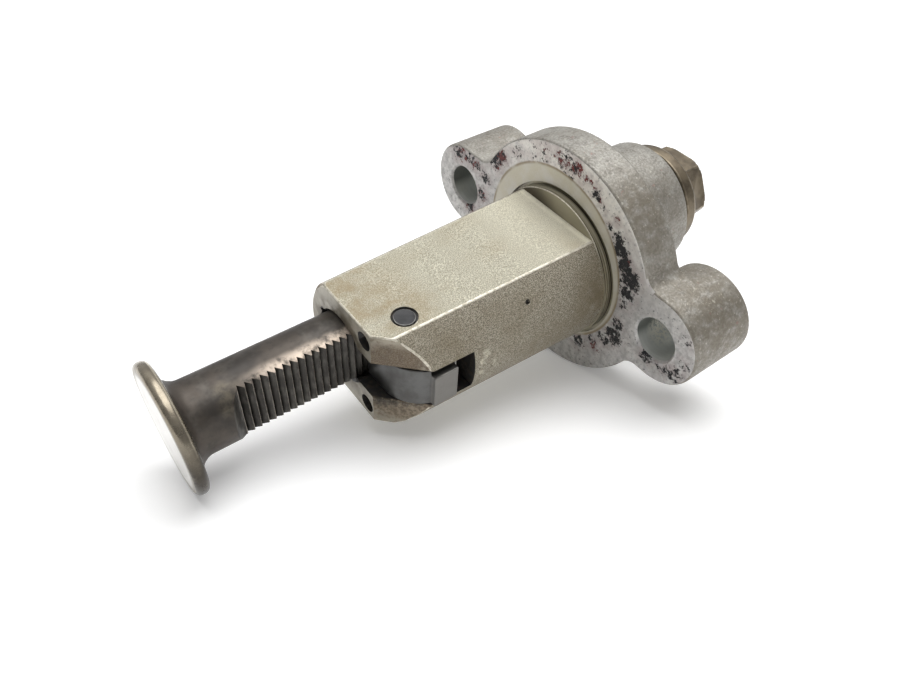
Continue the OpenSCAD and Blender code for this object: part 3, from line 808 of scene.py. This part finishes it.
@dataclass
class Housing:
    """Die-cast housing: barrel with two flats, flange with two lugs, and rear boss."""

    barrel_len: float = 35.6
    flat_start: float = 1.2
    flat_half: float = 7.9
    flat_clear: float = 0.1
    flange_t: float = 6.0
    lug_y: Span = (21.45, -21.45)
    hole_r: float = 3.3
    bore_r: float = 5.05
    register_r: float = 11.7
    register_rise: float = 0.9
    register_slack: float = 0.03
    groove_d: float = 0.4
    pin: Span = (30.3, 5.3)
    recess_r: float = 1.75
    recess_clear: float = 0.2
    recess_area: float = 6.0
    slot_rear: float = 23.7
    slot_half: float = 3.3
    front_hole: Span = (4.15, 6.1)
    front_hole_r: float = 1.35
    front_hole_from: float = 30.0
    cut_from: float = 20.0
    flange_inner: float = 13.0
    lug_from: float = 14.5
    mouth: float = 1.0
    wall: float = 0.5
    flange_edge: float = 0.5
    barrel_edge: float = 0.2
    cut_edge: float = 0.18
    register_edge: float = 0.1
    pit: Point = (14.2, 10.3, 6.07)
    pit_r: float = 0.6
    pit_floor: float = 11.05

    def in_front_hole(self, m: Vector) -> bool:
        """Tells whether a place lies in one of the two small holes beside the bore."""
        y, z = self.front_hole
        return m.x > self.front_hole_from and math.hypot(m.y - y, abs(m.z) - z) < self.front_hole_r + ABOUT

    def on_flange_rim(self, edge: Edge) -> bool:
        """Tells whether an edge runs round the flange's outline."""
        m = middle(edge)
        if min(abs(m.x), abs(m.x + self.flange_t)) > CLOSE:
            return False
        if math.hypot(m.y - BARREL_Y, m.z) < self.flange_inner:
            return False
        if abs(m.x) > self.mouth and abs(m.y) > self.lug_from:
            return False
        return all(math.hypot(m.y - y, m.z) > self.hole_r + self.mouth for y in self.lug_y)

    def on_flat(self, edge: Edge) -> bool:
        """Tells whether an edge borders one of the barrel's flats, away from pin and small holes."""
        m = middle(edge)
        if m.x < self.flat_start + self.flat_clear or abs(m.z) < self.flat_half or self.in_front_hole(m):
            return False
        return math.hypot(m.x - self.pin[0], m.y - self.pin[1]) > self.recess_r + self.recess_clear

    def on_cut(self, edge: Edge) -> bool:
        """Tells whether an edge parts the corner cut from the round of the barrel or a wall of the slot."""
        m = middle(edge)
        if m.x < self.slot_rear or abs(m.z) > self.flat_half or self.in_front_hole(m):
            return False
        if m.x > self.barrel_len - self.wall:
            return False
        return any(min(f.normal.x, f.normal.y) > 0.6 for f in edge.link_faces)

    def on_register(self, edge: Edge) -> bool:
        """Tells whether an edge is the front rim of the turned register."""
        m = middle(edge)
        if abs(m.x - self.flat_start) > CLOSE or abs(m.z) < self.flat_half + self.register_rise:
            return False
        return abs(math.hypot(m.y - BARREL_Y, m.z) - self.register_r) < self.register_slack

    def round_pin(self, face: Face) -> bool:
        """Tells whether a small face lies in the shallow recess round an end of the pin."""
        m = middle(face)
        by_pin = math.hypot(m.x - self.pin[0], m.y - self.pin[1]) < self.recess_r + CLOSE
        return by_pin and face.calc_area() < self.recess_area * MM * MM

    def zone(self, face: Face) -> Zone:
        """Sorts a face by its place and direction.

        Args:
            face: Face of the merged mesh.

        Returns:
            The surface that it belongs to.
        """
        m, n = middle(face), face.normal
        # The pin's recess is painted near black as shade.
        if self.round_pin(face):
            return Zone.SOOT_AND_SHADE
        in_lug = any(math.hypot(m.y - y, m.z) < self.hole_r + self.wall for y in self.lug_y)
        if in_lug and abs(n.x) < SQUARE:
            if abs(n.x) < 0.3:
                return Zone.DRILLED
            return Zone.GASKET if m.x > -self.mouth else Zone.CAST
        if abs(m.x) < CLOSE and n.x > SQUARE:
            return Zone.GASKET
        if m.x < -self.groove_d - CLOSE:
            return Zone.CAST
        if m.x < self.flat_start + CLOSE:
            return Zone.TURNED
        if self.in_front_hole(m):
            return Zone.SOOT_AND_SHADE
        if math.hypot(m.y - PLUNGER_Y, m.z) < self.bore_r + self.wall and abs(n.x) < SQUARE:
            return Zone.SOOT_AND_SHADE
        in_slot = abs(m.z) < self.slot_half + ABOUT and m.x > self.slot_rear - ABOUT
        if in_slot and max(abs(n.z), n.x) > SQUARE:
            return Zone.SOOT_AND_SHADE if m.x < self.barrel_len - ABOUT else Zone.FRONT
        if n.x > SQUARE:
            return Zone.FRONT
        if n.x > 0.5 and m.x > self.cut_from:
            return Zone.CUT
        # The small pit is painted near black as shade.
        if math.dist(m, self.pit) < self.pit_r and math.hypot(m.y - BARREL_Y, m.z) < self.pit_floor:
            return Zone.SOOT_AND_SHADE
        return Zone.BARREL if abs(n.z) > SQUARE else Zone.ROUND

    def build(self) -> bpy.types.Object:
        """Builds the housing's mesh and dresses it.

        Returns:
            The piece.
        """
        bm = merged_copy("housing")
        for face in bm.faces:
            face.material_index = self.zone(face)
        round_edges(bm, self.flange_edge, self.on_flange_rim, least=50.0, segments=3)
        for face in round_edges(bm, self.barrel_edge, self.on_flat, least=30.0):
            face.material_index = Zone.EDGE
        for face in round_edges(bm, self.cut_edge, self.on_cut, least=25.0):
            on_lip = abs(middle(face).z) < self.slot_half + 2 * self.cut_edge
            face.material_index = Zone.CUT if on_lip else Zone.EDGE
        for face in round_edges(bm, self.register_edge, self.on_register, least=45.0, segments=1):
            face.material_index = Zone.EDGE
        # The flat gets a painted highlight at its heel and painted light towards the flange.
        flat = BlastedBarrel("blasted_cast_aluminium", "D9D5C2", "A39E8C", "A39273", 0.3,
                             (Spot((30.3, 4.0, 8.4), 6.0, 0.85), Spot((34.5, -4.0, 8.3), 7.0, 0.8),
                              Spot((33.0, 1.0, 8.3), 6.0, 0.75), Spot((3.0, 7.0, 8.8), 3.0, 0.6)),
                             heel_highlight=(2.5, 1.8))
        # The barrel's round is a darker copy of the flat's aluminium: partly oil stain, partly painted
        # shade.
        oiled_and_shaded_round = BlastedBarrel("oiled_and_shaded_blasted_aluminium", "B9B2A1", "756D5D", "7D725B", 0.4,
                                (Spot((26.0, 10.5, 4.0), 5.0, 0.5), Spot((12.0, 11.0, -2.0), 6.0, 0.5),
                                 Spot((2.5, 11.8, 2.4), 6.0, 0.9)),
                                scuffs=(Spot((22.3, 12.0, 0.7), 3.4, 0.8),))
        finishes = (CastSkin(), GasketFace(), flat, StainedCut(), DrilledHole(), WornEdge(), FacedFront(),
                    OilAndShade(), TurnedRegister(), oiled_and_shaded_round)
        return make_piece(bm, "housing_casting", [f.build() for f in finishes], "housing", "housing")


@dataclass
class Plunger:
    """Steel rod with a rack on one side and a round foot."""

    foot_rear: float = 58.3
    foot_front: float = 60.1
    rack_y: float = 1.05
    groove_y: float = 0.4
    rack_from: float = 27.0
    rack_to: float = 53.0
    crest_x: Span = (28.0, 51.3)
    tooth_edge: float = 0.11

    def zone(self, face: Face) -> RodZone:
        """Sorts a face into rod, rack, foot or the foot's front face."""
        m, n = middle(face), face.normal
        if m.x > self.foot_front - ABOUT and n.x > 0.95:
            return RodZone.FACE
        if m.x > self.foot_rear:
            return RodZone.FOOT
        on_rack = self.rack_from < m.x < self.rack_to and m.y > self.groove_y - 0.1
        return RodZone.RACK if on_rack and abs(n.z) < 0.1 else RodZone.ROD

    def on_tooth(self, edge: Edge) -> bool:
        """Tells whether an edge lies on a crest of the rack."""
        m = middle(edge)
        along = edge.verts[0].co - edge.verts[1].co
        on_crest = self.crest_x[0] < m.x < self.crest_x[1] and abs(m.y - self.rack_y) < ABOUT
        return on_crest and abs(along.z) > abs(along.x)

    def build(self) -> bpy.types.Object:
        """Builds the plunger's mesh and dresses it.

        Returns:
            The piece.
        """
        bm = merged_copy("plunger")
        for face in bm.faces:
            face.material_index = self.zone(face)
        for face in round_edges(bm, self.tooth_edge, self.on_tooth, least=25.0, segments=1):
            face.material_index = RodZone.CREST
        # The tooth crests are lighter: partly worn pale, partly a painted highlight.
        crest = SatinSteel("worn_and_highlit_steel_crest", "BDB6AB", "8A847A", 0.34, 1.5)
        finishes = (RodSteel(), PolishedFoot(), FootFace(), RackSteel(), crest)
        return make_piece(bm, "plunger_rod", [f.build() for f in finishes], "plunger", "plunger",
                          crease=28.0)


@dataclass
class Ratchet:
    """Pawl, pivot pin and the thin wire spring."""

    pawl_edge: float = 0.14
    pawl_outer: float = 7.0
    pin_edge: float = 0.16

    def build(self) -> list[bpy.types.Object]:
        """Builds the pawl and the pin, and dresses the wire spring.

        Returns:
            The new pieces.
        """
        pawl = merged_copy("ratchet_pawl")
        round_edges(pawl, self.pawl_edge, lambda e: middle(e).y > self.pawl_outer, least=45.0)
        pin = merged_copy("pawl_pivot_pin")
        for face in round_edges(pin, self.pin_edge, lambda e: True, least=45.0, segments=3):
            face.material_index = RUBBED
        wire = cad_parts["pawl_spring"]
        wire.data.materials.clear()
        wire.data.materials.append(SatinSteel("drawn_spring_wire", "A3A29C", "85837C", 0.3, 1.0).build())
        pin_end = SatinSteel("blackened_steel", "3F3F40", "2F2F30", 0.42)
        pin_ring = SatinSteel("rubbed_pin_edge", "7C7B78", "4C4B49", 0.3, 1.0)
        return [make_piece(pawl, "one_way_pawl", [PawlSteel().build()], "pawl", "ratchet_pawl"),
                make_piece(pin, "pivot_pin", [pin_end.build(), pin_ring.build()], "housing",
                           "pawl_pivot_pin")]


@dataclass
class SpringPack:
    """Main spring, the bolt that closes the boss behind it, and the bolt's washer."""

    wire_r: float = 0.45
    coil_r: float = 2.55
    turns: int = 15
    first_x: float = -16.53
    last_x: float = 24.13
    end_gap: float = 0.04
    steps_per_turn: int = 28
    travel: float = 16.0
    anchor_x: float = -17.0
    hex_x: Span = (-30.0, -22.5)
    hex_edge: float = 0.3
    washer_edge: float = 0.2

    def coil(self) -> bmesh.types.BMesh:
        """Winds the main spring, with one closed turn at each end.

        Returns:
            The coil's mesh.
        """
        bm = bmesh.new()
        place = Matrix.Translation(Vector((self.first_x, PLUNGER_Y + self.coil_r, 0)) * MM)
        ring = bmesh.ops.create_circle(bm, cap_ends=True, radius=self.wire_r * MM, segments=10, matrix=place)
        closed = 2 * self.wire_r + self.end_gap
        pitch = (self.last_x - self.first_x - 2 * closed) / (self.turns - 2)
        tip = [f for v in ring["verts"] for f in v.link_faces][:1]
        for turns, rise in ((1, closed), (self.turns - 2, pitch), (1, closed)):
            steps = turns * self.steps_per_turn
            spun = bmesh.ops.spin(bm, geom=tip, cent=Vector((0, PLUNGER_Y, 0)) * MM, axis=(1, 0, 0),
                                  dvec=Vector((rise / self.steps_per_turn, 0, 0)) * MM,
                                  angle=2 * math.pi * turns, steps=steps, use_merge=False)
            tip = [g for g in spun["geom_last"] if isinstance(g, Face)]
        bmesh.ops.remove_doubles(bm, verts=bm.verts, dist=0.001 * MM)
        bmesh.ops.recalc_face_normals(bm, faces=bm.faces)
        return bm

    def build(self) -> list[bpy.types.Object]:
        """Builds the spring, the bolt and the washer, and dresses them.

        Returns:
            The new pieces.
        """
        wire = SatinSteel("drawn_spring_steel", "85837C", "6A6862", 0.3, 2.0)
        spring = make_piece(self.coil(), "main_spring_coil", [wire.build()], "housing", "main_spring",
                            crease=60.0)
        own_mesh(spring)
        bolt = merged_copy("cap_bolt")
        rear, front = self.hex_x
        for face in round_edges(bolt, self.hex_edge, lambda e: rear < middle(e).x < front, least=45.0,
                                segments=3):
            face.material_index = RUBBED
        washer = merged_copy("sealing_washer")
        round_edges(washer, self.washer_edge, lambda e: True, least=45.0)
        plating = SatinSteel("tarnished_zinc_plating", "796E5C", "5A5144", 0.38, 2.0)
        edge = SatinSteel("rubbed_plating_edge", "8E8371", "6A604F", 0.34, 1.2)
        # The washer is painted near black: painted shade in the joint between boss and bolt head.
        dull = SatinSteel("aluminium_washer_painted_dark", "2B2824", "1E1C19", 0.5, 1.5)
        return [spring,
                make_piece(bolt, "closing_bolt", [plating.build(), edge.build()], "housing", "cap_bolt"),
                make_piece(washer, "bolt_washer", [dull.build()], "housing", "sealing_washer")]


@dataclass
class Studio:
    """White table, soft light from above and behind, and the camera."""

    eye: Point = (66.957, 59.327, 74.139)
    forward: Point = (-0.43334, -0.53151, -0.72782)
    camera_up: Point = (-0.41247, -0.60107, 0.68453)
    lens: float = 30.107
    sensor: float = 36.0
    table_up: Point = (-0.1665, -0.3027, 0.9385)
    away: Point = (-0.569, -0.748, -0.342)
    contact: Point = (0.0, 6.63, -17.61)
    table_r: float = 6000.0
    card: str = "F7F7F7"
    glow: float = 0.17
    light_right: float = 0.15
    light_strength: float = 2.3
    light_spread: float = 60.0
    sky_back: float = 0.45
    sky: tuple[Span, ...] = ((0.0, 0.1), (0.45, 0.18), (0.65, 0.34), (0.85, 0.56), (1.0, 0.72))

    def camera(self) -> None:
        """Sets up the camera at the place it was found to have."""
        data = bpy.data.cameras.new("camera")
        data.lens, data.sensor_width, data.sensor_fit = self.lens, self.sensor, "HORIZONTAL"
        data.clip_start, data.clip_end = 0.001, 50.0
        camera = bpy.data.objects.new("camera", data)
        back, up = -Vector(self.forward), Vector(self.camera_up)
        turn = Matrix((up.cross(back), up, back)).transposed()
        camera.matrix_world = Matrix.Translation(Vector(self.eye) * MM) @ turn.to_4x4()
        bpy.context.scene.collection.objects.link(camera)
        bpy.context.scene.camera = camera

    def table(self) -> None:
        """Lays the white table under the foot and the flange; it shows from above only."""
        bm = bmesh.new()
        turn = Vector(self.table_up).to_track_quat("Z", "Y").to_matrix().to_4x4()
        place = Matrix.Translation(Vector(self.contact) * MM) @ turn
        bmesh.ops.create_circle(bm, cap_ends=True, radius=self.table_r * MM, segments=64, matrix=place)
        mesh = bpy.data.meshes.new("table")
        bm.to_mesh(mesh)
        bm.free()
        table = bpy.data.objects.new("table", mesh)
        bpy.context.scene.collection.objects.link(table)
        material = bpy.data.materials.new("white_card")
        material.use_nodes = True
        tree = material.node_tree
        tree.nodes.clear()
        path = add(tree, "LightPath").node.outputs
        seen = add(tree, "Math", {0: path["Is Camera Ray"], 1: path["Is Glossy Ray"]}, operation="MAXIMUM")
        seen = add(tree, "Math", {0: seen, 1: path["Is Transmission Ray"]}, operation="MAXIMUM")
        glow = add(tree, "Math", {0: seen, 1: self.glow}, operation="MULTIPLY")
        card = add(tree, "BsdfDiffuse", {"Color": self.card})
        lit = add(tree, "Emission", {"Color": "FFFFFF", "Strength": glow})
        both = add(tree, "AddShader", {0: card, 1: lit})
        under = add(tree, "NewGeometry", out="Backfacing")
        mix = add(tree, "MixShader", {0: under, 1: both, 2: add(tree, "BsdfTransparent")})
        add(tree, "OutputMaterial", {"Surface": mix})
        mesh.materials.append(material)

    def light(self) -> None:
        """Adds the overhead light and a sky, bright above and behind and dark on the camera's side."""
        up, away = Vector(self.table_up), Vector(self.away)
        right = away.cross(up)
        data = bpy.data.lights.new("overhead", "SUN")
        data.energy, data.angle = self.light_strength, math.radians(self.light_spread)
        lamp = bpy.data.objects.new("overhead", data)
        to_light = up + self.light_right * right
        lamp.rotation_euler = to_light.to_track_quat("Z", "Y").to_euler()
        bpy.context.scene.collection.objects.link(lamp)
        world = bpy.data.worlds.new("sky")
        world.use_nodes = True
        tree = world.node_tree
        tree.nodes.clear()
        direction = add(tree, "TexCoord", out="Generated")
        brightest = (up + self.sky_back * away).normalized()
        towards = add(tree, "VectorMath", {0: direction, 1: brightest}, out="Value", operation="DOT_PRODUCT")
        share = add(tree, "MapRange", {"Value": towards, "From Min": -1.0, "From Max": 1.0})
        ramp = add(tree, "ValToRGB", {"Fac": share})
        elements = ramp.node.color_ramp.elements
        while len(elements) < len(self.sky):
            elements.new(1.0)
        for element, (place, level) in zip(elements, self.sky):
            element.position, element.color = place, (level, level, level, 1.0)
        seen = add(tree, "LightPath", out="Is Camera Ray")
        colour = add(tree, "Mix", {0: seen, 6: ramp, 7: "FFFFFF"}, out=2, data_type="RGBA")
        shine = add(tree, "Background", {"Color": colour, "Strength": 1.0})
        add(tree, "OutputWorld", {"Surface": shine})
        bpy.context.scene.world = world

    def build(self) -> None:
        """Sets up the whole studio."""
        bpy.context.scene.view_settings.view_transform = "Standard"
        self.camera()
        self.table()
        self.light()


def main() -> None:
    """Builds every sub-assembly, then the studio."""
    logging.basicConfig(level=logging.INFO)
    for assembly in (Housing(), Plunger(), Ratchet(), SpringPack(), Studio()):
        assembly.build()
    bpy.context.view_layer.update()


if __name__ == "__main__":
    main()
